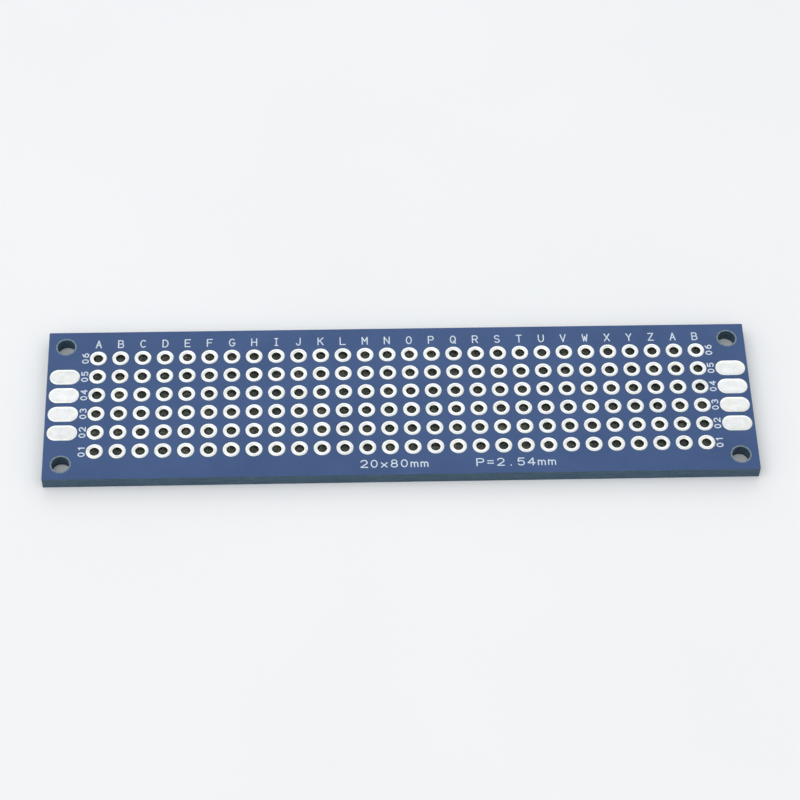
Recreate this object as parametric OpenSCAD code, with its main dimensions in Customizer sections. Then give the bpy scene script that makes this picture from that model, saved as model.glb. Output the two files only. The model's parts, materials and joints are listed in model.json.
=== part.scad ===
// Double-sided prototype board: a glass-epoxy laminate drilled with a grid of
// plated through-holes, a row of long solder pads at each end, four mounting
// holes, a blue solder mask on both faces, and a printed index of the grid.
// Units are millimetres. +X is the board's length, +Y points to the edge with
// the column letters, and Z = 0 is the plane on which the lower pads rest.

/* [Board] */
// Length of the board along X
board_length = 80; // [60:0.5:160]
// Width of the board along Y
board_width = 20; // [17:0.5:80]
// Thickness over the two solder masks
board_thickness = 1.6; // [0.6:0.1:3.2]

/* [Plated holes] */
// Distance between neighbouring holes, along X and along Y
hole_pitch = 2.54; // [2.3:0.01:5.08]
// Clear diameter of a plated hole
hole_d = 1.0; // [0.6:0.05:1.3]
// Thickness of the plating on a hole's wall
plating_wall = 0.05; // [0.02:0.01:0.1]
// Outer diameter of the round pad at each end of a plated hole
pad_d = 1.9; // [1.6:0.05:2.15]
// Height of every pad above the laminate
pad_thickness = 0.05; // [0.02:0.005:0.1]

/* [End pads] */
// Length of a long end pad along X
end_pad_length = 3.4; // [2.4:0.1:6]
// Width of a long end pad along Y
end_pad_width = 2.0; // [1.2:0.05:2.15]
// Distance from the board's end to the long pads
end_pad_inset = 0.3; // [0.15:0.05:1.5]

/* [Mounting holes] */
// Diameter of a mounting hole
mounting_hole_d = 2.0; // [1.5:0.1:2.4]
// Distance from a mounting hole's centre to each of the two nearest edges
mounting_hole_inset = 2.0; // [1.6:0.1:2.4]
// Width of the bare ring that the mask leaves around a mounting hole
mounting_ring = 0.18; // [0.05:0.01:0.3]

/* [Solder mask] */
// Thickness of the solder mask on each face
mask_thickness = 0.025; // [0.01:0.005:0.04]
// Gap between the solder mask and the edge of a pad
mask_clearance = 0.05; // [0.02:0.01:0.07]

/* [Printed index] */
// Thickness of the printed ink
ink_thickness = 0.02; // [0.01:0.005:0.03]
// Gap between the rear pads' mask openings and the column letters
letter_gap = 0.4; // [0.1:0.05:0.8]
// Height of a column letter's field along Y
letter_height = 1.1; // [0.6:0.05:1.4]
// Width of a column letter's field along X
letter_width = 0.8; // [0.4:0.05:1.6]
// Height of a row number's field, which runs along X
number_height = 0.8; // [0.5:0.05:1.2]
// Width of a row number's field, which runs along Y
number_width = 1.6; // [0.8:0.05:2]
// Smallest gap between a printed field and a mask opening
print_gap = 0.05; // [0.02:0.01:0.3]
// Height of the fields of the two marks at the front edge
mark_height = 1.05; // [0.6:0.05:1.2]
// Distance from the front edge to the two marks
mark_edge_gap = 0.9; // [0.4:0.05:1.2]
// Width of the board size mark's field
size_mark_width = 7.6; // [4:0.1:10]
// Centre of the board size mark along X
size_mark_x = -0.9; // [-4:0.1:2]
// Width of the hole pitch mark's field
pitch_mark_width = 8.9; // [4:0.1:10]
// Centre of the hole pitch mark along X
pitch_mark_x = 12.7; // [12.5:0.1:18]

/* [Hidden] */
$fn = 48;
TOP = 1;
BOTTOM = -1;
LEFT = -1;
RIGHT = 1;

// The stack: the lower skin of pads, mask and ink, the laminate, the upper skin
skin = max(pad_thickness, mask_thickness + ink_thickness);
laminate_thickness = board_thickness - 2 * mask_thickness;
board_middle_z = skin + laminate_thickness / 2;

// Where one opening in the mask ends beside a pad
pad_opening_d = pad_d + 2 * mask_clearance;
mounting_opening_d = mounting_hole_d + 2 * mounting_ring;
drill_d = hole_d + 2 * plating_wall;

// The grid is centred on the board and fills what the margins leave
end_strip = max(end_pad_inset + end_pad_length + mask_clearance,
                mounting_hole_inset + mounting_opening_d / 2);
number_strip = 2 * print_gap + number_height;
column_margin = end_strip + number_strip + pad_opening_d / 2;
rear_strip = letter_gap + letter_height + mark_edge_gap;
front_strip = print_gap + mark_height + mark_edge_gap;
row_margin = pad_opening_d / 2 + max(rear_strip, front_strip);
columns = floor((board_length - 2 * column_margin) / hole_pitch) + 1;
rows = floor((board_width - 2 * row_margin) / hole_pitch) + 1;
grid_half_x = (columns - 1) * hole_pitch / 2;
grid_half_y = (rows - 1) * hole_pitch / 2;

// The first and last rows end at the mounting holes and have no end pads
end_pads = rows - 2;

SIDES = [["left", LEFT], ["right", RIGHT]];
FACES = [["top", TOP], ["bottom", BOTTOM]];

function column_x(column) = (column - 1) * hole_pitch - grid_half_x;
function row_y(row) = grid_half_y - (row - 1) * hole_pitch;

function row_node(row) = str("plated_holes_row_", row);
function end_pad_node(side, face, number) = str("end_pad_", side, "_", face, "_", number);
function letters_node(face) = str("column_letters_", face);
function numbers_node(side, face) = str("row_numbers_", side, "_", face);

// Places its children at every hole of the grid
module at_grid() {
    for (row = [1 : rows], column = [1 : columns])
        translate([column_x(column), row_y(row)]) children();
}

// Places its children at the four mounting holes
module at_mounting_holes() {
    for (x = [-1, 1], y = [-1, 1])
        translate([x * (board_length / 2 - mounting_hole_inset), y * (board_width / 2 - mounting_hole_inset)])
            children();
}

// Places its children at one end pad
module at_end_pad(side, number) {
    x = side * (board_length / 2 - end_pad_inset - end_pad_length / 2);
    translate([x, row_y(number + 1)]) children();
}

// A flat layer on one face, from one height above the laminate to another
module layer(face, low, high) {
    z = face * (laminate_thickness / 2 + (low + high) / 2);
    translate([0, 0, board_middle_z + z])
        linear_extrude(high - low, center = true) children();
}

// Outline of a long end pad, grown by a margin on every side
module end_pad_outline(margin = 0) {
    width = end_pad_width + 2 * margin;
    straight = end_pad_length - end_pad_width;
    square([straight, width], center = true);
    for (x = [-1, 1])
        translate([x * straight / 2, 0]) circle(d = width);
}

// The drilled sheet of glass-epoxy that carries everything else
module laminate() {
    color([0.70, 0.74, 0.60])
        translate([0, 0, skin])
            linear_extrude(laminate_thickness)
                difference() {
                    square([board_length, board_width], center = true);
                    at_grid() circle(d = drill_d);
                    at_mounting_holes() circle(d = mounting_hole_d);
                }
}

// The blue skin of one face, open at every pad and around the mounting holes
module solder_mask(face) {
    color([0.16, 0.30, 0.58])
        layer(face, 0, mask_thickness)
            difference() {
                square([board_length, board_width], center = true);
                at_grid() circle(d = pad_opening_d);
                at_mounting_holes() circle(d = mounting_opening_d);
                for (side = SIDES, number = [1 : end_pads])
                    at_end_pad(side[1], number) end_pad_outline(mask_clearance);
            }
}

// A tinned through-hole: two round pads joined by the plating of the hole's wall
module plated_hole() {
    pad_z = laminate_thickness / 2 + pad_thickness;
    wall_z = laminate_thickness / 2;
    bore_r = hole_d / 2;
    wall_r = drill_d / 2;
    pad_r = pad_d / 2;
    translate([0, 0, board_middle_z])
        rotate_extrude()
            polygon([
                [bore_r, -pad_z], [pad_r, -pad_z], [pad_r, -wall_z], [wall_r, -wall_z],
                [wall_r, wall_z], [pad_r, wall_z], [pad_r, pad_z], [bore_r, pad_z]
            ]);
}

// One row of the grid, counted from the rear edge
module plated_holes(row) {
    color([0.86, 0.88, 0.90])
        for (column = [1 : columns])
            translate([column_x(column), row_y(row), 0]) plated_hole();
}

// One long tinned pad, in line with a row of the grid
module end_pad(side, face, number) {
    color([0.88, 0.90, 0.92])
        layer(face, 0, pad_thickness)
            at_end_pad(side, number) end_pad_outline();
}

// A white printed field on one face, lying on the mask
module printed_field(face, x, y, width, height) {
    color([0.93, 0.95, 0.97])
        layer(face, mask_thickness, mask_thickness + ink_thickness)
            translate([x, y]) square([width, height], center = true);
}

// The fields of the letters behind the rear row, one over each column
module column_letters(face) {
    y = row_y(1) + pad_opening_d / 2 + letter_gap + letter_height / 2;
    for (column = [1 : columns])
        printed_field(face, column_x(column), y, letter_width, letter_height);
}

// The fields of the row numbers, which are printed turned a quarter round
module row_numbers(side, face) {
    x = side * (grid_half_x + pad_opening_d / 2 + print_gap + number_height / 2);
    for (row = [1 : rows])
        printed_field(face, x, row_y(row), number_height, number_width);
}

// The field of a mark at the front edge of the upper face
module front_mark(x, width) {
    y = -board_width / 2 + mark_edge_gap + mark_height / 2;
    printed_field(TOP, x, y, width, mark_height);
}

module size_mark() {
    front_mark(size_mark_x, size_mark_width);
}

module pitch_mark() {
    front_mark(pitch_mark_x, pitch_mark_width);
}

laminate();
solder_mask(TOP);  // solder_mask_top
solder_mask(BOTTOM);  // solder_mask_bottom
for (row = [1 : rows])
    plated_holes(row);
for (side = SIDES, face = FACES, number = [1 : end_pads])
    end_pad(side[1], face[1], number);
for (face = FACES)
    column_letters(face[1]);
for (side = SIDES, face = FACES)
    row_numbers(side[1], face[1]);
size_mark();
pitch_mark();
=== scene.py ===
"""Looks of a double-sided prototype board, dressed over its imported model.

The board lies on Z = 0 with its column letters towards +Y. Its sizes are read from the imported
model, and lengths are in metres.
"""
import json
import math
import random
import bpy
from mathutils import Matrix, Vector
from mathutils.geometry import delaunay_2d_cdt


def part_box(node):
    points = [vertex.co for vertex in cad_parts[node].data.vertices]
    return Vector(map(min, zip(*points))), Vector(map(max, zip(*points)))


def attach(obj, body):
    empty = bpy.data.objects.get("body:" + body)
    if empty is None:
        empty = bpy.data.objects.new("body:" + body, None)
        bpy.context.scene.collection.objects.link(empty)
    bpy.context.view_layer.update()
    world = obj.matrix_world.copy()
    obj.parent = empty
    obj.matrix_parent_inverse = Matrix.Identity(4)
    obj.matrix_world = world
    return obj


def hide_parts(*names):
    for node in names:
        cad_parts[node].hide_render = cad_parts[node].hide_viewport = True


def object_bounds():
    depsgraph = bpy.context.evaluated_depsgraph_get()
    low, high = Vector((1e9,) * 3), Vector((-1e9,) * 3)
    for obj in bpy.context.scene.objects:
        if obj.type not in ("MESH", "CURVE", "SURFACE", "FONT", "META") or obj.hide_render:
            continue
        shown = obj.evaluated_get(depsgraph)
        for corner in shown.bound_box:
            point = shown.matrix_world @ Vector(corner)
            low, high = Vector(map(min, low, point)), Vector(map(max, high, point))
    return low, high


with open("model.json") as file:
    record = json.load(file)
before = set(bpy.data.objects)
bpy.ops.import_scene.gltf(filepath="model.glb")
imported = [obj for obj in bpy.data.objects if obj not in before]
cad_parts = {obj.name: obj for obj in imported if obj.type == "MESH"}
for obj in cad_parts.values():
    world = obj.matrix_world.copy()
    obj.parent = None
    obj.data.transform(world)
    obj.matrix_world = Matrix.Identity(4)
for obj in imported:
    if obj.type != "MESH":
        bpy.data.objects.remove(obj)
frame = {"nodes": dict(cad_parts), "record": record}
cad_low, cad_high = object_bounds()
MM = 0.001
BODY = "root"
# Distance below which two points are one
SAME_POINT = 1e-9


# Sizes of the board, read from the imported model

def middle(node, axis):
    """Middle of a node's box along one axis."""
    low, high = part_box(node)
    return (low[axis] + high[axis]) / 2


def extent(node, axis):
    """Size of a node's box along one axis."""
    low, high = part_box(node)
    return high[axis] - low[axis]


ROW_NODES = sorted(n for n in frame["nodes"] if n.startswith("plated_holes_row_"))
END_PAD_NODES = sorted(n for n in frame["nodes"] if n.startswith("end_pad_"))
ROWS = [middle(n, 1) for n in ROW_NODES]
PITCH = ROWS[0] - ROWS[1]
PAD_R = extent(ROW_NODES[0], 1) / 2
COLUMN_COUNT = round((extent(ROW_NODES[0], 0) - 2 * PAD_R) / PITCH) + 1
COLUMNS = [(i - (COLUMN_COUNT - 1) / 2) * PITCH for i in range(COLUMN_COUNT)]

LENGTH = extent("laminate", 0)
WIDTH = extent("laminate", 1)
LAMINATE_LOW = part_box("laminate")[0][2]
LAMINATE_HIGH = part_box("laminate")[1][2]
MIDDLE_Z = (LAMINATE_LOW + LAMINATE_HIGH) / 2
LAMINATE_HALF = (LAMINATE_HIGH - LAMINATE_LOW) / 2
MASK = extent("solder_mask_top", 2)
PAD_HEIGHT = cad_high[2] - LAMINATE_HIGH
END_PAD_LENGTH = extent(END_PAD_NODES[0], 0)
END_PAD_R = extent(END_PAD_NODES[0], 1) / 2
END_PAD_STRAIGHT = END_PAD_LENGTH / 2 - END_PAD_R

# The mounting holes, from the record
PATTERN = next(m for m in frame["record"]["mounts"] if m["name"] == "mounting_holes")["dims"]
MOUNTING_R = PATTERN["hole_r_mm"] * MM
MOUNTING_X = PATTERN["spacing_x_mm"] / 2 * MM
MOUNTING_Y = PATTERN["spacing_y_mm"] / 2 * MM
MOUNTING = [(x, y) for x in (-MOUNTING_X, MOUNTING_X) for y in (-MOUNTING_Y, MOUNTING_Y)]
GRID = [(x, y) for y in ROWS for x in COLUMNS]

# Sizes that a node's box doesn't give
BORE_R = 0.5 * MM
DRILL_R = BORE_R + 0.05 * MM
MASK_CLEARANCE = 0.05 * MM
MOUNTING_RING = 0.18 * MM
BOARD_CORNER = 0.12 * MM
INK = 0.02 * MM

# Broken edges: the laminate's width, and the mask's as a share of its thickness
LAMINATE_SOFT = 0.015 * MM
MASK_SOFT = 0.6

# The two faces of the board, as the direction along Z in which each looks
TOP = 1
BOTTOM = -1
FACES = [("top", TOP), ("bottom", BOTTOM)]


# Materials

class Nodes:
    """The node tree of a material or world, with short ways to add what it needs."""

    # Sockets of a colour Mix node, counted from 0
    MIX_COLOURS = (6, 7)
    MIX_RESULT = 2
    # How many pitches past the last column per_pad still follows X: past that, a pad is one cell
    PAST_GRID = 0.6

    def __init__(self, owner):
        owner.use_nodes = True
        self.owner = owner
        self.tree = owner.node_tree
        coordinates = self.node("TexCoord").outputs
        self.place = coordinates["Object"]
        self.normal = coordinates["Normal"]
        self.direction = coordinates["Generated"]

    def node(self, kind, **settings):
        """Adds a node with its own settings."""
        node = self.tree.nodes.new(f"ShaderNode{kind}")
        for name, value in settings.items():
            setattr(node, name, value)
        return node

    def plug(self, socket, value):
        """Gives a socket a number, a colour as a triple, or a link from another socket."""
        if isinstance(value, bpy.types.NodeSocket):
            self.tree.links.new(value, socket)
        elif socket.type == "RGBA":
            socket.default_value = (*value, 1)
        else:
            socket.default_value = value

    def noise(self, size, detail=3.0, rough=0.5, stretch=(1, 1, 1)):
        """Noise whose features are about this size, and finer along a stretched axis."""
        mapping = self.node("Mapping")
        self.plug(mapping.inputs["Vector"], self.place)
        self.plug(mapping.inputs["Scale"], [s / size for s in stretch])
        noise = self.node("TexNoise")
        self.plug(noise.inputs["Vector"], mapping.outputs["Vector"])
        self.plug(noise.inputs["Scale"], 1.0)
        self.plug(noise.inputs["Detail"], detail)
        self.plug(noise.inputs["Roughness"], rough)
        return noise.outputs["Fac"]

    def bands(self, period, direction):
        """Slightly wavy bands, a period apart."""
        wave = self.node("TexWave", bands_direction=direction)
        self.plug(wave.inputs["Vector"], self.place)
        self.plug(wave.inputs["Scale"], math.pi / 10 / period)
        self.plug(wave.inputs["Distortion"], 0.6)
        self.plug(wave.inputs["Detail Scale"], 1.5)
        return wave.outputs["Fac"]

    def glass_weave(self):
        """The cloth of glass inside the laminate, as a height."""
        return self.calc("MAXIMUM", self.bands(WEAVE, "X"), self.bands(WEAVE, "Y"))

    def spread(self, value, low, high, start=0.3, stop=0.7):
        """Maps start to stop of a value onto low to high."""
        node = self.node("MapRange")
        self.plug(node.inputs["Value"], value)
        self.plug(node.inputs["From Min"], start)
        self.plug(node.inputs["From Max"], stop)
        self.plug(node.inputs["To Min"], low)
        self.plug(node.inputs["To Max"], high)
        return node.outputs["Result"]

    def calc(self, operation, first, second=0.0):
        """One step of arithmetic."""
        node = self.node("Math", operation=operation)
        self.plug(node.inputs[0], first)
        self.plug(node.inputs[1], second)
        return node.outputs[0]

    def mix(self, factor, first, second):
        """Mixes two colours, each a triple or a socket."""
        node = self.node("Mix", data_type="RGBA")
        self.plug(node.inputs[0], factor)
        for number, colour in zip(self.MIX_COLOURS, (first, second)):
            self.plug(node.inputs[number], colour)
        return node.outputs[self.MIX_RESULT]

    def bump(self, *layers):
        """A normal made of layers of (height, depth)."""
        normal = None
        for height, depth in layers:
            node = self.node("Bump")
            self.plug(node.inputs["Height"], height)
            self.plug(node.inputs["Distance"], depth)
            if normal is not None:
                self.plug(node.inputs["Normal"], normal)
            normal = node.outputs["Normal"]
        return normal

    def split(self, vector):
        """The X, Y and Z of a vector."""
        node = self.node("SeparateXYZ")
        self.plug(node.inputs[0], vector)
        return node.outputs["X"], node.outputs["Y"], node.outputs["Z"]

    def facing_up(self):
        """1 on the flat faces, 0 on the walls that stand on them."""
        upright = self.split(self.normal)[2]
        return self.spread(self.calc("ABSOLUTE", upright), 0, 1, 0.6, 0.9)

    def per_pad(self):
        """A random value that stays the same all over one pad."""
        x, y, z = self.split(self.place)
        grid_end = COLUMNS[-1] + PITCH * self.PAST_GRID
        x = self.calc("MINIMUM", self.calc("MAXIMUM", x, -grid_end), grid_end)
        cells = self.node("CombineXYZ")
        for axis, value, first in (("X", x, COLUMNS[0]), ("Y", y, ROWS[-1])):
            along = self.calc("DIVIDE", self.calc("ADD", value, PITCH / 2 - first), PITCH)
            self.plug(cells.inputs[axis], self.calc("FLOOR", along))
        self.plug(cells.inputs["Z"], self.calc("GREATER_THAN", z, MIDDLE_Z))
        noise = self.node("TexWhiteNoise", noise_dimensions="3D")
        self.plug(noise.inputs["Vector"], cells.outputs["Vector"])
        return noise.outputs["Value"]


WEAVE = 0.5 * MM


def new_material(name):
    """A new material's nodes, and the inputs of its shader."""
    n = Nodes(bpy.data.materials.new(name))
    return n, n.tree.nodes["Principled BSDF"].inputs


def solder_mask_material():
    """Blue lacquer: deep and even, satin, with the weave faintly showing."""
    n, surface = new_material("solder_mask")
    cloud = n.spread(n.noise(6 * MM, 3), 0, 1)
    blue = n.mix(cloud, (0.023, 0.066, 0.190), (0.033, 0.084, 0.225))
    speck = n.spread(n.noise(0.3 * MM, 2, 0.7), 0, 1, 0.74, 0.82)
    n.plug(surface["Base Color"], n.mix(speck, blue, (0.06, 0.13, 0.28)))
    n.plug(surface["Roughness"], n.spread(n.noise(1.6 * MM, 4, 0.6), 0.27, 0.35))
    n.plug(surface["Normal"], n.bump((n.glass_weave(), 0.004 * MM), (n.noise(0.9 * MM, 2), 0.012 * MM)))
    n.plug(surface["IOR"], 1.52)
    return n.owner


def tin_material():
    """Hot-levelled tin: bright, cloudier on some pads than on others, with fine ripples."""
    n, surface = new_material("tin")
    cloud = n.calc("MULTIPLY", n.spread(n.noise(0.8 * MM, 3), 0, 1), n.per_pad())
    warmth = n.spread(n.noise(1.3 * MM, 2), 0, 1, 0.45, 0.65)
    clean = n.mix(warmth, (0.95, 0.955, 0.96), (0.94, 0.93, 0.865))
    bright = n.mix(cloud, clean, (0.80, 0.805, 0.79))
    grain = n.spread(n.noise(0.16 * MM, 4, 0.65), 0, 0.22, 0.58, 0.75)
    n.plug(surface["Base Color"], n.mix(grain, bright, (0.76, 0.78, 0.78)))
    n.plug(surface["Roughness"], n.spread(n.noise(0.7 * MM, 4, 0.6), 0.22, 0.36))
    ripples = (n.noise(0.7 * MM, 2), 0.012 * MM)
    n.plug(surface["Normal"], n.bump(ripples, (n.noise(0.15 * MM, 3), 0.001 * MM)))
    n.plug(surface["Metallic"], 1.0)
    return n.owner


def bore_material():
    """The plating inside a hole: dull, and darkened more in some holes than in others; its dark colours
    are partly oxidised plating and partly painted shade.
    """
    n, surface = new_material("bore_plating")
    # Painted shade in part: the bore's colours are darker than dull tin, for the shade deep inside the
    # holes as well as the oxidised plating.
    stain_and_painted_shade = n.mix(n.per_pad(), (0.66, 0.64, 0.54), (0.30, 0.34, 0.31))
    cloud = n.spread(n.noise(0.5 * MM, 3), 0, 1)
    n.plug(surface["Base Color"], n.mix(cloud, stain_and_painted_shade, (0.20, 0.23, 0.21)))
    n.plug(surface["Roughness"], n.spread(n.noise(0.25 * MM, 3), 0.14, 0.32))
    n.plug(surface["Normal"], n.bump((n.noise(0.35 * MM, 3), 0.02 * MM)))
    n.plug(surface["Metallic"], 1.0)
    return n.owner


def laminate_material():
    """Glass-epoxy: fibres in layers on the sawn walls, and cloth on the bare faces; the walls are darkened
    with painted shade.
    """
    n, surface = new_material("laminate")
    fibre = n.spread(n.noise(1.2 * MM, 5, 0.7, (1, 1, 9)), 0, 1)
    # Painted shade: the colours of the sawn walls are kept darker than the laminate itself, as shade on
    # the board's edges and hole walls.
    resin_and_painted_shade = n.mix(fibre, (0.034, 0.072, 0.112), (0.070, 0.128, 0.182))
    ply = n.spread(n.noise(1.5 * MM, 3, 0.6, (0.3, 0.3, 8)), 0, 0.5, 0.4, 0.6)
    plies_and_painted_shade = n.mix(ply, resin_and_painted_shade, (0.026, 0.058, 0.092))
    fibre_end = n.spread(n.noise(0.12 * MM, 4, 0.7), 0, 0.4, 0.6, 0.8)
    sawn = n.mix(fibre_end, plies_and_painted_shade, (0.16, 0.23, 0.29))
    cloth = n.mix(n.glass_weave(), (0.15, 0.21, 0.25), (0.22, 0.29, 0.33))
    n.plug(surface["Base Color"], n.mix(n.facing_up(), sawn, cloth))
    n.plug(surface["Roughness"], n.spread(n.noise(0.4 * MM, 4), 0.55, 0.8))
    layers = (n.noise(0.9 * MM, 4, 0.7, (1, 1, 9)), 0.02 * MM)
    n.plug(surface["Normal"], n.bump(layers, (n.noise(0.15 * MM, 5, 0.7), 0.02 * MM)))
    n.plug(surface["Specular IOR Level"], 0.3)
    n.plug(surface["Subsurface Weight"], 0.15)
    n.plug(surface["Subsurface Scale"], 0.3 * MM)
    return n.owner


def ink_material():
    """Screen-printed white: matt, and thinner in places."""
    n, surface = new_material("ink")
    cover = n.spread(n.noise(0.25 * MM, 4, 0.7), 0, 1, 0.35, 0.65)
    n.plug(surface["Base Color"], n.mix(cover, (0.55, 0.65, 0.78), (0.76, 0.82, 0.88)))
    n.plug(surface["Roughness"], n.spread(n.noise(0.5 * MM, 3), 0.5, 0.7))
    n.plug(surface["Normal"], n.bump((n.noise(0.1 * MM, 3), 0.003 * MM)))
    return n.owner


MASK_BLUE = solder_mask_material()
TIN = tin_material()
BORE = bore_material()
LAMINATE = laminate_material()
WHITE_INK = ink_material()


# Meshes

class Shape:
    """Vertices and faces on their way to becoming a piece."""

    SHARP_ANGLE = math.radians(40)

    def __init__(self):
        self.verts = []
        self.faces = []
        self.finishes = []

    def add(self, points):
        """Adds vertices and returns their numbers."""
        first = len(self.verts)
        self.verts += points
        return list(range(first, len(self.verts)))

    def face(self, loop, finish=0):
        """Adds one face. The finish says which of the piece's materials it has."""
        self.faces.append(tuple(loop))
        self.finishes.append(finish)

    def bridge(self, lower, upper, finish=0):
        """Joins two closed loops, which face outwards where both run anticlockwise."""
        for i in range(len(lower)):
            j = (i + 1) % len(lower)
            self.face((lower[i], lower[j], upper[j], upper[i]), finish)

    def piece(self, name, materials, slot, node):
        """Makes the piece, which rides on the board and stands for one CAD node."""
        mesh = bpy.data.meshes.new(name)
        mesh.from_pydata(self.verts, [], self.faces)
        for material in materials:
            mesh.materials.append(material)
        mesh.polygons.foreach_set("material_index", self.finishes)
        mesh.polygons.foreach_set("use_smooth", [True] * len(mesh.polygons))
        mesh.set_sharp_from_angle(angle=self.SHARP_ANGLE)
        mesh.update()
        piece = bpy.data.objects.new(name, mesh)
        bpy.context.scene.collection.objects.link(piece)
        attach(piece, BODY)
        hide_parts(node)


def circle(x, y, radius, count):
    """Points round a circle, anticlockwise."""
    angles = [2 * math.pi * i / count for i in range(count)]
    return [(x + radius * math.cos(a), y + radius * math.sin(a)) for a in angles]


def stadium(x, y, half_straight, radius, count=48):
    """Points round a circle that is drawn out along X, anticlockwise."""
    points = []
    for i in range(count):
        angle = 2 * math.pi * (i + 0.5) / count - math.pi / 2
        shift = half_straight if i < count / 2 else -half_straight
        points.append((x + shift + radius * math.cos(angle), y + radius * math.sin(angle)))
    return points


def rectangle(length, width, corner, count=5):
    """Points round a rectangle with small round corners, anticlockwise."""
    points = []
    for quarter, (sx, sy) in enumerate([(1, 1), (-1, 1), (-1, -1), (1, -1)]):
        x, y = sx * (length / 2 - corner), sy * (width / 2 - corner)
        for i in range(count):
            angle = math.pi / 2 * (quarter + i / (count - 1))
            points.append((x + corner * math.cos(angle), y + corner * math.sin(angle)))
    return points


# The laminate and the two masks

def pierced_face(loops):
    """Triangles between an outline, the first loop, and the convex openings in it.

    They hold the numbers of the loops' points, counted from loop to loop.
    """
    points, edges, owners = [], [], []
    for number, loop in enumerate(loops):
        first = len(points)
        points += [Vector(point) for point in loop]
        edges += [(first + i, first + (i + 1) % len(loop)) for i in range(len(loop))]
        owners += [number] * len(loop)
    inside_edges = 1
    triangles = delaunay_2d_cdt(points, edges, [], inside_edges, SAME_POINT, False)[2]
    return [tri for tri in triangles if owners[tri[0]] == 0 or len({owners[v] for v in tri}) > 1]


def plate(openings, low, high, soft_low, soft_high):
    """A flat layer of the board's outline, with openings of (x, y, half straight, radius).

    Its lower and upper edges are broken by soft_low and soft_high.
    """
    levels = [(low + soft_low, 0.0), (high - soft_high, 0.0)]
    if soft_low > 0:
        levels.insert(0, (low, soft_low))
    if soft_high > 0:
        levels.append((high, soft_high))
    shape = Shape()
    floors = []
    for z, inset in levels:
        loops = [rectangle(LENGTH - 2 * inset, WIDTH - 2 * inset, BOARD_CORNER)]
        loops += [stadium(x, y, half, radius + inset) for x, y, half, radius in openings]
        floors.append([shape.add([(x, y, z) for x, y in loop]) for loop in loops])
    for lower, upper in zip(floors, floors[1:]):
        shape.bridge(lower[0], upper[0])
        for lower_opening, upper_opening in zip(lower[1:], upper[1:]):
            shape.bridge(upper_opening, lower_opening)
    under = [v for loop in floors[0] for v in loop]
    over = [v for loop in floors[-1] for v in loop]
    for tri in pierced_face(loops):
        shape.face([over[v] for v in tri])
        shape.face([under[v] for v in reversed(tri)])
    return shape


def build_laminate():
    openings = [(x, y, 0, DRILL_R) for x, y in GRID] + [(x, y, 0, MOUNTING_R) for x, y in MOUNTING]
    sheet = plate(openings, LAMINATE_LOW, LAMINATE_HIGH, LAMINATE_SOFT, LAMINATE_SOFT)
    sheet.piece("laminate_sheet", [LAMINATE], "laminate", "laminate")


def build_mask(name, face):
    """The mask of one face, open round every pad and mounting hole, with its outer edges rounded."""
    openings = [(x, y, 0, PAD_R + MASK_CLEARANCE) for x, y in GRID]
    openings += [(x, y, 0, MOUNTING_R + MOUNTING_RING) for x, y in MOUNTING]
    for node in END_PAD_NODES:
        if f"_{name}_" in node:
            radius = END_PAD_R + MASK_CLEARANCE
            openings.append((middle(node, 0), middle(node, 1), END_PAD_STRAIGHT, radius))
    node = f"solder_mask_{name}"
    low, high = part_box(node)
    soft = MASK * MASK_SOFT
    soft_low, soft_high = (0, soft) if face == TOP else (soft, 0)
    skin = plate(openings, low[2], high[2], soft_low, soft_high)
    skin.piece(f"mask_{name}", [MASK_BLUE], "solder_mask", node)


# The tinned holes and pads

ROW_SEED = 100
END_PAD_SEED = 300
RING_SEGMENTS = 48
TIN_FOOT = 0.012 * MM
BORE_KNEE = 0.1 * MM
OUTER_STEPS = 5
INNER_STEPS = 6


def ring_profile(crest):
    """The tin of one pad, from its outer foot over its crest and down into the hole.

    It is a list of (radius, height above the laminate), and crest is how far in from the pad's
    edge the tin is thickest. The exponents flatten or sharpen the two quarter rounds.
    """
    top_r = PAD_R - crest
    points = [(PAD_R, 0.0), (PAD_R, TIN_FOOT)]
    for i in range(1, OUTER_STEPS + 1):
        angle = math.pi / 2 * i / OUTER_STEPS
        radius = top_r + crest * math.cos(angle) ** 0.7
        points.append((radius, TIN_FOOT + (PAD_HEIGHT - TIN_FOOT) * math.sin(angle) ** 0.8))
    for i in range(1, INNER_STEPS + 1):
        angle = math.pi / 2 * i / INNER_STEPS
        radius = BORE_R + (top_r - BORE_R) * (1 - math.sin(angle) ** 1.3)
        points.append((radius, PAD_HEIGHT - (PAD_HEIGHT + BORE_KNEE) * (1 - math.cos(angle) ** 0.9)))
    return points


def add_tinned_hole(shape, x, y, rng):
    """One plated hole: the tin of both pads, the bore between them, and the back on the laminate."""
    profile = ring_profile((PAD_R - BORE_R) * rng.uniform(0.42, 0.6))
    rings = []
    for face in (TOP, BOTTOM):
        lean = rng.uniform(0.0, 0.3)
        side = rng.uniform(0, 2 * math.pi)
        for radius, height in profile if face == TOP else reversed(profile):
            points = []
            for i, (px, py) in enumerate(circle(x, y, radius, RING_SEGMENTS)):
                angle = 2 * math.pi * i / RING_SEGMENTS - side
                slump = 1 - lean * (1 - math.cos(angle)) / 2 if height > 0 else 1
                points.append((px, py, MIDDLE_Z + face * (LAMINATE_HALF + height * slump)))
            rings.append((shape.add(points), height < 0))
    for z in (LAMINATE_LOW, LAMINATE_HIGH):
        points = [(px, py, z) for px, py in circle(x, y, DRILL_R, RING_SEGMENTS)]
        rings.append((shape.add(points), False))
    for (ring, in_bore), (after, after_in_bore) in zip(rings, rings[1:] + rings[:1]):
        shape.bridge(ring, after, 1 if in_bore and after_in_bore else 0)


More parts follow.
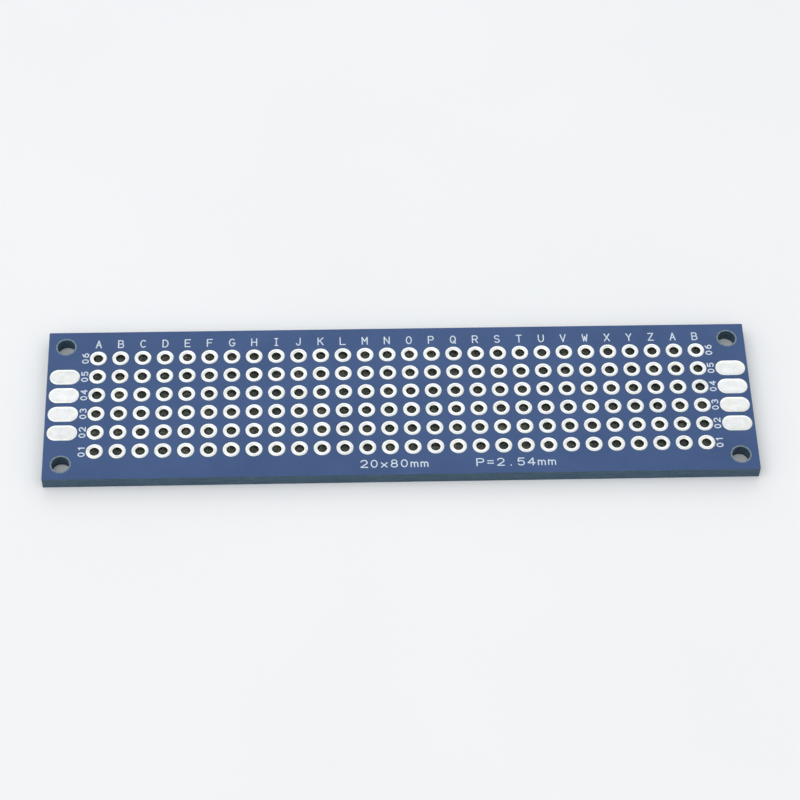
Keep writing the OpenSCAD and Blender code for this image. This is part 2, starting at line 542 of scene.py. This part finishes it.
def build_hole_row(node, y, seed):
    """One row of tinned through-holes, each with its own slump of tin."""
    rng = random.Random(seed)
    shape = Shape()
    for x in COLUMNS:
        add_tinned_hole(shape, x, y, rng)
    shape.piece(node.replace("plated_holes", "tinned_holes"), [TIN, BORE], "tin", node)


# How far in from the pad's edge each loop of an end pad lies
END_PAD_INSETS = [i * MM for i in (0, 0.006, 0.02, 0.05, 0.1, 0.16, 0.24, 0.34, 0.46, 0.6, 0.76, 0.9)]
END_PAD_POINTS = 64
# Share of an end pad's height at which its tin starts at the rim
RIM_SHARE = 0.2


def build_end_pad(node, seed):
    """A long pad with its tin pillowed: steep at the rim, and nearly flat inside."""
    rng = random.Random(seed)
    face = TOP if "_top_" in node else BOTTOM
    x, y = middle(node, 0), middle(node, 1)
    roll = rng.uniform(0.28, 0.4) * MM
    sink = rng.uniform(0.004, 0.012) * MM
    tilt = rng.uniform(-0.1, 0.1)
    heights = [(0.0, 0.0)]
    for inset in END_PAD_INSETS:
        swell = math.sqrt(1 - (1 - min(inset / roll, 1)) ** 2)
        dip = sink * max(inset - roll, 0) / (END_PAD_R - roll)
        heights.append((inset, PAD_HEIGHT * (RIM_SHARE + (1 - RIM_SHARE) * swell) - dip))
    shape = Shape()
    loops = []
    for inset, height in heights:
        points = []
        for px, py in stadium(x, y, END_PAD_STRAIGHT, END_PAD_R - inset, END_PAD_POINTS):
            lean = 1 - abs(tilt) / 2 - tilt * (px - x) / END_PAD_LENGTH
            points.append((px, py, MIDDLE_Z + face * (LAMINATE_HALF + height * lean)))
        loops.append(shape.add(points))
    if face == BOTTOM:
        loops.reverse()
    for lower, upper in zip(loops, loops[1:]):
        shape.bridge(lower, upper)
    shape.face(loops[-1])
    shape.face(reversed(loops[0]))
    shape.piece(node.replace("end_pad", "tinned_end_pad"), [TIN], "tin", node)


# Print: letters of single strokes, drawn on a unit square

STROKE_WIDTH = 0.13 * MM
CAP_STEPS = 7
LEAST_MITRE = 0.5
# Degrees through which a path turns at a sharp corner
SHARP_CORNER = 35
# Distance on the unit square below which two points are one
SAME_ON_SQUARE = 1e-6
# Each stroke of a letter is this much lower than the last, so that no two share a plane
LAYER_STEP = 0.0008 * MM
LETTER_WIDTH = 0.7 * MM
DIGIT_WIDTH = 0.64 * MM
DIGIT_STEP = 0.84 * MM
# Share of a front mark's step that is left empty between two letters
MARK_GAP = 0.22


def arc(x, y, rx, ry, start, stop, step=15):
    """Points along part of an ellipse, between two angles in degrees."""
    count = max(2, round(abs(stop - start) / step))
    angles = [math.radians(start + (stop - start) * i / count) for i in range(count + 1)]
    return [(x + rx * math.cos(a), y + ry * math.sin(a)) for a in angles]


OVAL = arc(0.5, 0.5, 0.5, 0.5, 90, 450)
P_BOWL = [(0, 0), (0, 1), (0.6, 1)] + arc(0.6, 0.74, 0.4, 0.26, 90, -90) + [(0, 0.48)]
B_UPPER = [(0, 0), (0, 1), (0.56, 1)] + arc(0.56, 0.76, 0.34, 0.24, 90, -90) + [(0, 0.52)]
B_LOWER = [(0, 0), (0.6, 0)] + arc(0.6, 0.26, 0.4, 0.26, -90, 90) + [(0.5, 0.52)]
GLYPHS = {
    "A": [[(0, 0), (0.5, 1), (1, 0)], [(0.2, 0.36), (0.8, 0.36)]],
    "B": [B_UPPER, B_LOWER],
    "C": [arc(0.54, 0.5, 0.54, 0.5, 48, 312)],
    "D": [[(0, 0), (0, 1), (0.45, 1)] + arc(0.45, 0.5, 0.55, 0.5, 90, -90) + [(0, 0)]],
    "E": [[(1, 1), (0, 1), (0, 0), (1, 0)], [(0, 0.52), (0.8, 0.52)]],
    "F": [[(1, 1), (0, 1), (0, 0)], [(0, 0.52), (0.8, 0.52)]],
    "G": [arc(0.54, 0.5, 0.54, 0.5, 48, 352) + [(0.6, 0.43)]],
    "H": [[(0, 0), (0, 1)], [(1, 0), (1, 1)], [(0, 0.52), (1, 0.52)]],
    "I": [[(0.5, 0), (0.5, 1)], [(0.22, 1), (0.78, 1)], [(0.22, 0), (0.78, 0)]],
    "J": [[(0.85, 1), (0.85, 0.35)] + arc(0.47, 0.35, 0.38, 0.35, 0, -165)],
    "K": [[(0, 0), (0, 1)], [(1, 1), (0, 0.4)], [(0.35, 0.62), (1, 0)]],
    "L": [[(0, 1), (0, 0), (1, 0)]],
    "M": [[(0, 0), (0, 1), (0.5, 0.4), (1, 1), (1, 0)]],
    "N": [[(0, 0), (0, 1), (1, 0), (1, 1)]],
    "O": [OVAL],
    "P": [P_BOWL],
    "Q": [OVAL, [(0.6, 0.32), (1, -0.04)]],
    "R": [P_BOWL, [(0.5, 0.48), (1, 0)]],
    "S": [arc(0.5, 0.75, 0.46, 0.25, 30, 270) + arc(0.5, 0.25, 0.46, 0.25, 90, -150)],
    "T": [[(0, 1), (1, 1)], [(0.5, 1), (0.5, 0)]],
    "U": [[(0, 1), (0, 0.4)] + arc(0.5, 0.4, 0.5, 0.4, 180, 360) + [(1, 1)]],
    "V": [[(0, 1), (0.5, 0), (1, 1)]],
    "W": [[(0, 1), (0.25, 0), (0.5, 0.7), (0.75, 0), (1, 1)]],
    "X": [[(0, 0), (1, 1)], [(0, 1), (1, 0)]],
    "Y": [[(0, 1), (0.5, 0.48), (1, 1)], [(0.5, 0.48), (0.5, 0)]],
    "Z": [[(0, 1), (1, 1), (0, 0), (1, 0)]],
    "0": [arc(0.5, 0.5, 0.44, 0.5, 90, 450)],
    "1": [[(0.2, 0.78), (0.55, 1), (0.55, 0)]],
    "2": [arc(0.5, 0.7, 0.46, 0.3, 165, -35) + [(0.02, 0), (1, 0)]],
    "3": [arc(0.46, 0.76, 0.42, 0.24, 150, -90) + arc(0.46, 0.26, 0.48, 0.26, 90, -150)],
    "4": [[(0.74, 0), (0.74, 1), (0, 0.3), (1, 0.3)]],
    "5": [[(0.92, 1), (0.14, 1), (0.06, 0.56)] + arc(0.48, 0.32, 0.46, 0.32, 130, -150)],
    "6": [arc(0.5, 0.31, 0.46, 0.31, 90, 450), [(0.05, 0.36), (0.2, 0.78), (0.72, 1)]],
    "8": [arc(0.5, 0.76, 0.38, 0.24, 90, 450), arc(0.5, 0.26, 0.46, 0.26, 90, 450)],
    "m": [[(0, 0), (0, 0.66)]] + [arc(x, 0.44, 0.25, 0.2, 180, 0) + [(x + 0.25, 0)] for x in (0.25, 0.75)],
    "x": [[(0.08, 0), (0.92, 0.62)], [(0.08, 0.62), (0.92, 0)]],
    "=": [[(0.1, 0.32), (0.9, 0.32)], [(0.1, 0.68), (0.9, 0.68)]],
    ".": [[(0.5, 0), (0.5, 0.05)]],
}


def turn_at(a, b, c):
    """Angle through which a path turns at b, in degrees."""
    first = math.atan2(b[1] - a[1], b[0] - a[0])
    second = math.atan2(c[1] - b[1], c[0] - b[0])
    return abs((math.degrees(second - first) + 180) % 360 - 180)


def smooth_runs(points):
    """Splits a path at its sharp corners, which then get round joints."""
    points = [p for i, p in enumerate(points) if i == 0 or math.dist(p, points[i - 1]) > SAME_ON_SQUARE]
    runs, run = [], [points[0]]
    for i in range(1, len(points)):
        run.append(points[i])
        if i < len(points) - 1 and turn_at(points[i - 1], points[i], points[i + 1]) > SHARP_CORNER:
            runs.append(run)
            run = [points[i]]
    runs.append(run)
    return runs


def add_pair(shape, point, low, high):
    """Adds an upper point and the lower one under it."""
    return shape.add([(point.x, point.y, high), (point.x, point.y, low)])


def add_prism(shape, pairs, walls):
    """Adds the upper and lower faces of a loop of pairs, and the walls under some of its sides."""
    upper = [pair[0] for pair in pairs]
    lower = [pair[1] for pair in pairs]
    shape.face(upper)
    shape.face(reversed(lower))
    for i in walls:
        j = (i + 1) % len(pairs)
        shape.face((lower[i], lower[j], upper[j], upper[i]))


def add_cap(shape, point, out, first, last, low, high):
    """Adds the half circle at one end of a stroke, from its first pair round to its last."""
    cap = [first]
    for k in range(1, CAP_STEPS):
        angle = math.atan2(out.y, out.x) + math.pi * (k / CAP_STEPS - 0.5)
        spoke = Vector((math.cos(angle), math.sin(angle))) * STROKE_WIDTH / 2
        cap.append(add_pair(shape, point + spoke, low, high))
    add_prism(shape, cap + [last], range(CAP_STEPS))


def add_stroke(shape, points, low, high):
    """Adds one solid stroke: a ribbon with round ends, or a closed loop."""
    closed = len(points) > 3 and math.dist(points[0], points[-1]) < SAME_POINT
    path = [Vector(p) for p in (points[:-1] if closed else points)]
    spans = len(path) if closed else len(path) - 1
    steps = [(path[(i + 1) % len(path)] - path[i]).normalized() for i in range(spans)]
    rails = []
    for i, point in enumerate(path):
        before = steps[i - 1] if closed or i > 0 else steps[0]
        after = steps[i] if i < spans else steps[-1]
        along = (before + after).normalized()
        side = Vector((-along.y, along.x)) * STROKE_WIDTH / 2 / max(LEAST_MITRE, along.dot(after))
        rails.append([add_pair(shape, point + offset, low, high) for offset in (side, -side)])
    for i in range(spans):
        (left, right), (next_left, next_right) = rails[i], rails[(i + 1) % len(rails)]
        add_prism(shape, [right, next_right, next_left, left], (0, 2))
    if not closed:
        add_cap(shape, path[0], -steps[0], *rails[0], low, high)
        add_cap(shape, path[-1], steps[-1], *reversed(rails[-1]), low, high)


def write(shape, text, centre, size, step, face, turned=False):
    """Adds a line of print to one face, centred, so that it reads from outside.

    Each letter fills size, the next one is a step along, and turned print runs along +Y.
    """
    width, height = size[0] - STROKE_WIDTH, size[1] - STROKE_WIDTH
    surface = MIDDLE_Z + face * (LAMINATE_HALF + MASK)
    for i, letter in enumerate(text):
        start = (i - (len(text) - 1) / 2) * step
        runs = [run for path in GLYPHS[letter] for run in smooth_runs(path)]
        for layer, run in enumerate(runs):
            points = [(start + (u - 0.5) * width, (v - 0.5) * height) for u, v in run]
            if turned:
                points = [(-y, x) for x, y in points]
            points = [(centre[0] + face * x, centre[1] + y) for x, y in points]
            low, high = sorted((surface, surface + face * (INK - layer * LAYER_STEP)))
            add_stroke(shape, points, low, high)


def build_column_letters(name, face):
    """A to Z, and round again for the columns past Z."""
    node = f"column_letters_{name}"
    size = (LETTER_WIDTH, extent(node, 1))
    shape = Shape()
    for i, x in enumerate(COLUMNS):
        letter = chr(ord("A") + i % 26)
        write(shape, letter, (x, middle(node, 1)), size, 0, face)
    shape.piece(f"printed_letters_{name}", [WHITE_INK], "ink", node)


def build_row_numbers(side, name, face):
    """Two-digit numbers, from the front row to the rear one."""
    node = f"row_numbers_{side}_{name}"
    size = (DIGIT_WIDTH, extent(node, 0))
    shape = Shape()
    for row, y in enumerate(ROWS):
        write(shape, f"{len(ROWS) - row:02d}", (middle(node, 0), y), size, DIGIT_STEP, face, turned=True)
    shape.piece(f"printed_numbers_{side}_{name}", [WHITE_INK], "ink", node)


def build_front_mark(node, text):
    """A mark at the front edge of the upper face, as wide as its node."""
    step = extent(node, 0) / (len(text) - MARK_GAP)
    size = (step * (1 - MARK_GAP), extent(node, 1))
    shape = Shape()
    write(shape, text, (middle(node, 0), middle(node, 1)), size, step, TOP)
    shape.piece(f"printed_{node}", [WHITE_INK], "ink", node)


# Camera, floor and light

# The photograph's viewpoint, from the middle of the upper face, and its upward direction
CAMERA_OFFSET = Vector((-9.62, -162.5, 237.6)) * MM
PHOTO_UP = Vector((0.0157, 0.8434, 0.5371))

# The lens and the sensor in millimetres, the clipping distances in metres
LENS = 114.4
SENSOR_WIDTH = 36
CLIP_START = 0.01
CLIP_END = 20

# The sky's level from the horizon (0) to straight overhead (1)
SKY = [(0.0, 0.6), (0.5, 0.74), (0.83, 0.88), (1.0, 0.8)]
SKY_TINT = (0.97, 0.985, 1.0)
SKY_AS_LAMP = 0.78

# The table: half its width, how far it lies under the board, and from where to where it fades
TABLE_HALF = 3.0
TABLE_DROP = 0.002 * MM
FADE_START = 0.12
FADE_STOP = 0.45


def build_camera():
    """Looks from the photograph's viewpoint, through a longer lens, at the board's middle."""
    target = Vector((0, 0, LAMINATE_HIGH))
    forward = -CAMERA_OFFSET.normalized()
    right = forward.cross(PHOTO_UP).normalized()
    up = right.cross(forward)
    data = bpy.data.cameras.new("camera")
    data.lens = LENS
    data.sensor_width = SENSOR_WIDTH
    data.clip_start = CLIP_START
    data.clip_end = CLIP_END
    camera = bpy.data.objects.new("camera", data)
    turned = Matrix((right, up, -forward)).transposed().to_4x4()
    camera.matrix_world = Matrix.Translation(target + CAMERA_OFFSET) @ turned
    bpy.context.scene.collection.objects.link(camera)
    bpy.context.scene.camera = camera


def build_softbox(name, place, size, watts, colour=(1, 1, 1)):
    """A soft area light that looks at the board."""
    data = bpy.data.lights.new(name, "AREA")
    data.shape = "RECTANGLE"
    data.size, data.size_y = size
    data.energy = watts
    data.color = colour
    light = bpy.data.objects.new(name, data)
    light.location = place
    light.rotation_euler = (-Vector(place)).to_track_quat("-Z", "Y").to_euler()
    bpy.context.scene.collection.objects.link(light)


def build_world():
    """A pale studio: white to the camera, graded towards the horizon in gloss, dimmer as a lamp."""
    world = bpy.data.worlds.new("studio")
    bpy.context.scene.world = world
    n = Nodes(world)
    background = n.tree.nodes["Background"]
    sky = n.node("ValToRGB")
    for position, _ in SKY[1:-1]:
        sky.color_ramp.elements.new(position)
    for element, (position, level) in zip(sky.color_ramp.elements, SKY):
        element.position = position
        element.color = (*(tint * level for tint in SKY_TINT), 1)
    n.plug(sky.inputs["Fac"], n.split(n.direction)[2])
    rays = n.node("LightPath").outputs
    seen = n.calc("MAXIMUM", rays["Is Camera Ray"], rays["Is Glossy Ray"])
    white = (1.0, 1.0, 1.0)
    n.plug(background.inputs["Color"], n.mix(rays["Is Camera Ray"], sky.outputs["Color"], white))
    n.plug(background.inputs["Strength"], n.spread(seen, SKY_AS_LAMP, 1, 0, 1))


def table_material():
    """Pale grey-white round the board, fading to the white of the studio further out."""
    n, surface = new_material("table")
    shade = n.spread(n.noise(40 * MM, 2), 0, 1)
    n.plug(surface["Base Color"], n.mix(shade, (0.91, 0.915, 0.92), (0.93, 0.935, 0.94)))
    n.plug(surface["Roughness"], 0.7)
    distance = n.node("VectorMath", operation="LENGTH")
    n.plug(distance.inputs[0], n.place)
    rays = n.node("LightPath").outputs
    seen = n.calc("MAXIMUM", rays["Is Camera Ray"], rays["Is Glossy Ray"])
    far = n.spread(distance.outputs["Value"], 0, 1, FADE_START, FADE_STOP)
    fade = n.calc("MULTIPLY", seen, far)
    mixed = n.node("MixShader")
    n.plug(mixed.inputs[0], fade)
    n.plug(mixed.inputs[1], n.tree.nodes["Principled BSDF"].outputs[0])
    n.plug(mixed.inputs[2], n.node("Emission").outputs[0])
    n.plug(n.tree.nodes["Material Output"].inputs["Surface"], mixed.outputs[0])
    return n.owner


def build_floor():
    """A plain pale table, just under the board."""
    mesh = bpy.data.meshes.new("table")
    corners = [(x * TABLE_HALF, y * TABLE_HALF, 0) for x, y in ((-1, -1), (1, -1), (1, 1), (-1, 1))]
    mesh.from_pydata(corners, [], [(0, 1, 2, 3)])
    mesh.materials.append(table_material())
    table = bpy.data.objects.new("table", mesh)
    table.location.z = -TABLE_DROP
    bpy.context.scene.collection.objects.link(table)


build_camera()
build_laminate()
for number, (row_node, row_y) in enumerate(zip(ROW_NODES, ROWS)):
    build_hole_row(row_node, row_y, ROW_SEED + number)
for number, pad_node in enumerate(END_PAD_NODES):
    build_end_pad(pad_node, END_PAD_SEED + number)
for face_name, face_side in FACES:
    build_mask(face_name, face_side)
    build_column_letters(face_name, face_side)
    for end in ("left", "right"):
        build_row_numbers(end, face_name, face_side)
build_front_mark("size_mark", "20x80mm")
build_front_mark("pitch_mark", "P=2.54mm")
build_floor()
build_world()
build_softbox("rear_softbox", (0.0, 0.6, 0.35), (0.9, 0.4), 1.0, (0.88, 0.95, 1.0))
build_softbox("key_softbox", (-0.45, -0.2, 0.62), (1.1, 1.1), 2.9)
build_softbox("fill_softbox", (0.5, -0.35, 0.4), (0.9, 0.9), 1.0)
bpy.context.scene.view_settings.view_transform = "Standard"
